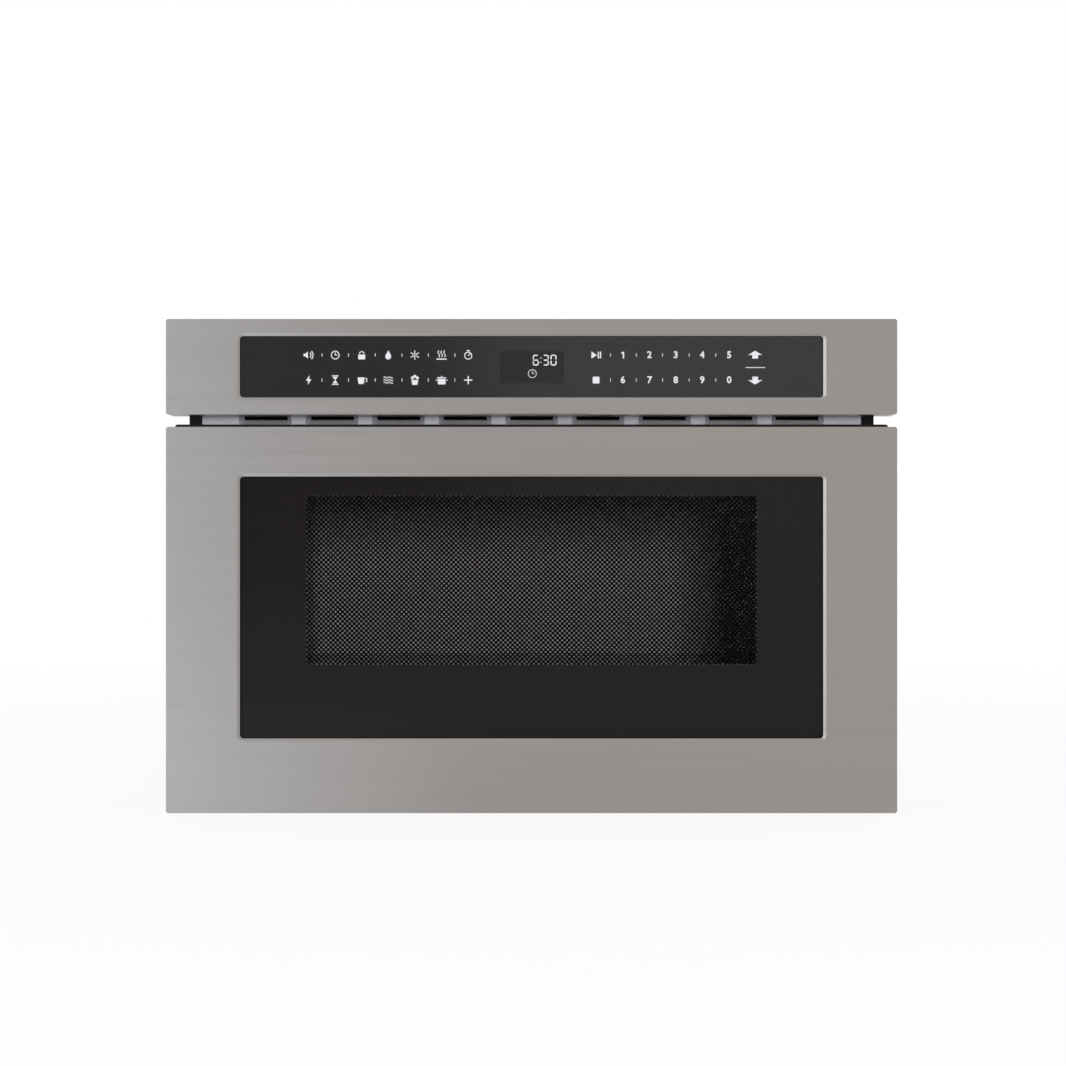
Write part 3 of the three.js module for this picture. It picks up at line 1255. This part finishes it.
// Sizes across are from the hook's side, along from the front plate and up from the hook's underside.
const microswitch = {
  lever: { across: [0, 0.6], along: [3, 24], up: [3, 10] },
  body: { across: [2.2, 12], along: [2, 30], up: [-2, 14] },
  heel: { across: [0, 3], along: [22, 26], up: [3, 10] },
  plate: { across: [11, 12.5], along: [0, 32], up: [-12, 24] },
  base: { across: [11, 22], along: [0, 1.5], up: [-12, 24] },
  tabs: [8, 16, 24].map((y) => ({ across: [5, 6], along: [y - 2, y + 2], up: [13, 21] })),
};

function interlockSwitch(sign) {
  const from = hook.x + hook.thick + RUNNING;
  const { tabs, ...single } = microswitch;
  return joined([...Object.values(single), ...tabs].map(({ across, along, up }) => block(
    across.map((value) => sign * (from + value)), along.map((value) => behindFront + value),
    up.map((value) => hook.low + value))));
}

// ---------------------------------------------------------------- door and drawer
function doorSkin() {
  return foldedFace(doorBottom, doorTop, skinEndY).subtract(bevelledOpening(doorGlass));
}

function doorMesh() {
  return extruded(roundedRectangle(
    [-field.x - SCREEN_RIM, field.x + SCREEN_RIM],
    [field.low - SCREEN_RIM, field.high + SCREEN_RIM], GLASS_CORNER), 'y', [screenY, screenY + SCREEN_SHEET]);
}

function frameWall(halfWidth, low, high, thickness, ys) {
  return block([-halfWidth, halfWidth], ys, [low, high]).subtract(block(
    [-halfWidth + thickness, halfWidth - thickness], [ys[0] - THROUGH, ys[1] + THROUGH],
    [low + thickness, high - thickness]));
}

// Deep frame of the door: rim, pane pocket and a choke wall cut into fingers opposite the front plate.
function chokeFrame() {
  const half = halfFace - FACE_RETURN - SEAT;
  const low = doorBottom + FACE_RETURN + SEAT;
  const high = doorTop - FACE_RETURN - SEAT;
  const end = skinEndY;
  const window = block(
    [-field.x, field.x], [chokeY - THROUGH, chokeY + 2 * THROUGH], [field.low, field.high]);
  const plate = block([-half, half], [chokeY, chokeY + CHOKE_SHEET], [low, high]).subtract(window);
  const wallFrom = chokeY + CHOKE_SHEET / 2;
  const rim = frameWall(half, low, high, CHOKE_SHEET, [wallFrom, end]);
  const pocketGrow = PANE_LAP + SEAT + CHOKE_SHEET;
  const pocket = frameWall(
    field.x + pocketGrow, field.low - pocketGrow, field.high + pocketGrow, CHOKE_SHEET, [wallFrom, end]);
  const wall = {
    x: halfMouth + CHOKE_OFFSET,
    low: cavityFloor - CHOKE_OFFSET,
    high: cavityTop + CHOKE_OFFSET,
  };
  const wallEnd = end - CHOKE_SHORTER;
  const choke = frameWall(wall.x, wall.low, wall.high, CHOKE_SHEET, [wallFrom, wallEnd]);
  const slots = [];
  const slotY = [wallEnd - FINGER_DEPTH, end + THROUGH];
  const across = Math.floor((2 * wall.x - FINGER_PITCH) / FINGER_PITCH);
  for (let number = 0; number <= across; number += 1) {
    const x = (number - across / 2) * FINGER_PITCH;
    for (const z of [wall.low, wall.high]) {
      slots.push(block([x - FINGER_SLOT / 2, x + FINGER_SLOT / 2], slotY, [z - THROUGH, z + THROUGH]));
    }
  }
  const up = Math.floor((wall.high - wall.low - FINGER_PITCH) / FINGER_PITCH);
  for (let number = 0; number <= up; number += 1) {
    const z = (wall.low + wall.high) / 2 + (number - up / 2) * FINGER_PITCH;
    for (const x of [-wall.x, wall.x]) {
      slots.push(block([x - THROUGH, x + THROUGH], slotY, [z - FINGER_SLOT / 2, z + FINGER_SLOT / 2]));
    }
  }
  return joined([plate, rim, pocket, cut(choke, slots)]);
}

function innerWindow() {
  return block(
    [-field.x - PANE_LAP, field.x + PANE_LAP], [skinEndY - PANE_THICK, skinEndY],
    [field.low - PANE_LAP, field.high + PANE_LAP]);
}

function doorLiner() {
  const half = halfFace - LINER_INSET;
  const plate = extruded(
    roundedRectangle([-half, half], [doorBottom + LINER_INSET, doorTop + LINER_RISE], FACE_CORNER),
    'y', [linerFrontY, linerBackY]);
  const opening = block(
    [-field.x - LINER_LAP, field.x + LINER_LAP], [linerFrontY - THROUGH, linerBackY + THROUGH],
    [field.low - LINER_LAP, field.high + LINER_LAP]);
  return plate.subtract(opening);
}

// Folded tub, open at the top and towards the door, with a hem round its rim and a flange on the door.
function drawerTub() {
  const outer = roundedRectangle([-tub.x, tub.x], [onDoorY - 2 * TUB_CORNER, tub.back], TUB_CORNER);
  const inner = roundedRectangle(
    [-tub.x + SHEET, tub.x - SHEET], [onDoorY - 2 * TUB_CORNER, tub.back - SHEET], TUB_CORNER - SHEET);
  const wide = roundedRectangle(
    [-tub.x - TUB_HEM, tub.x + TUB_HEM], [onDoorY - 2 * TUB_CORNER, tub.back + TUB_HEM],
    TUB_CORNER + TUB_HEM);
  const shell = extruded(outer, 'z', [tub.low, tub.high]);
  const hem = extruded(wide, 'z', [tub.high - SHEET, tub.high]);
  const hollow = extruded(inner, 'z', [tub.low + SHEET, tub.high + THROUGH]);
  const flange = block(
    [-tub.x - TUB_HEM, tub.x + TUB_HEM], [onDoorY - THROUGH, onDoorY + SHEET], [tub.low - TUB_HEM, tub.high]);
  const front = block(
    [-halfMouth - THROUGH, halfMouth + THROUGH], [onDoorY - 4 * TUB_CORNER, onDoorY], [0, cavityTop]);
  return joined([shell, hem, flange]).subtract(hollow).subtract(front);
}

function tubFloorGlass() {
  const half = tub.x - SHEET - FLOOR_GLASS_INSET;
  const low = tub.low + SHEET + SEAT;
  const ys = [onDoorY + FLOOR_GLASS_INSET, tub.back - SHEET - FLOOR_GLASS_INSET];
  return extruded(
    roundedRectangle([-half, half], ys, TUB_CORNER / 2), 'z', [low, low + FLOOR_GLASS_THICK]);
}

// ---------------------------------------------------------------- assembly
piece('base_pan', basePan(), zincSteel);
piece('outer_case', outerCase(), zincSteel);
piece('rear_panel', rearPanel(), zincSteel);
piece('cord_inlet', cordInlet(), blackPlastic);
piece('front_plate', frontPlate(), cavitySteel);
piece('vent_plate', ventPlate(), zincSteel);
piece('oven_cavity', ovenCavity(), cavitySteel);
piece('cavity_support', cavitySupport(), zincSteel);

piece('control_bezel', controlBezel(), faceSteel);
piece('control_glass', glassPlate(panelGlass, behindFace, PANEL_GLASS_THICK), blackGlass);
piece('control_housing', controlHousing(), blackPlastic);
piece('touch_board', touchBoard(), board);
piece('display_module', displayModule(), blackPlastic);

piece('waveguide', waveguide(), aluminium);
piece('magnetron', magnetron(), aluminium);
piece('stirrer_motor', stirrerMotor(), blackPlastic);
piece('stirrer_cover', stirrerCover(), whitePlastic);
piece('stirrer_blades', stirrerBlades(), aluminium);
piece('fan_shroud', fanShroud(), zincSteel);
piece('fan_motor', fanMotor(), laminations);
piece('fan_rotor', fanRotor(), whitePlastic);
piece('hv_transformer', hvTransformer(), laminations);
piece('hv_capacitor', hvCapacitor(), aluminium);
piece('power_board', powerBoard(), board);
piece('cavity_lamp', cavityLamp(), zincSteel);
piece('thermal_cutout', thermalCutout(), blackPlastic);

piece('drive_motor', driveMotor(), laminations);
piece('drive_pinion', drivePinion(), whitePlastic);
piece('drive_rack', driveRack(), whitePlastic);
piece('rack_guide', rackGuide(), whitePlastic);

for (const [side, sign] of sides) {
  piece(`${side}_mounting_flange`, mountingFlange(sign), blackSteel);
  piece(`${side}_slide_bracket`, slideBracket(sign), zincSteel);
  piece(`${side}_slide_outer`, slideOuter(sign), zincSteel);
  piece(`${side}_slide_middle`, slideMiddle(sign), zincSteel);
  piece(`${side}_slide_inner`, slideInner(sign), zincSteel);
  piece(`${side}_side_arm`, sideArm(sign), zincSteel);
  piece(`${side}_latch_hook`, latchHook(sign), blackPlastic);
  piece(`${side}_interlock_switch`, interlockSwitch(sign), blackPlastic);
}

piece('door_skin', doorSkin(), faceSteel);
piece('door_glass', glassPlate(doorGlass, behindFace, DOOR_GLASS_THICK), blackGlass);
piece('door_mesh', doorMesh(), blackSteel);
piece('choke_frame', chokeFrame(), zincSteel);
piece('inner_window', innerWindow(), clearGlass);
piece('door_liner', doorLiner(), blackPlastic);
piece('drawer_tub', drawerTub(), cavitySteel);
piece('tub_floor_glass', tubFloorGlass(), ceramicGlass);

export default drawerUnit;
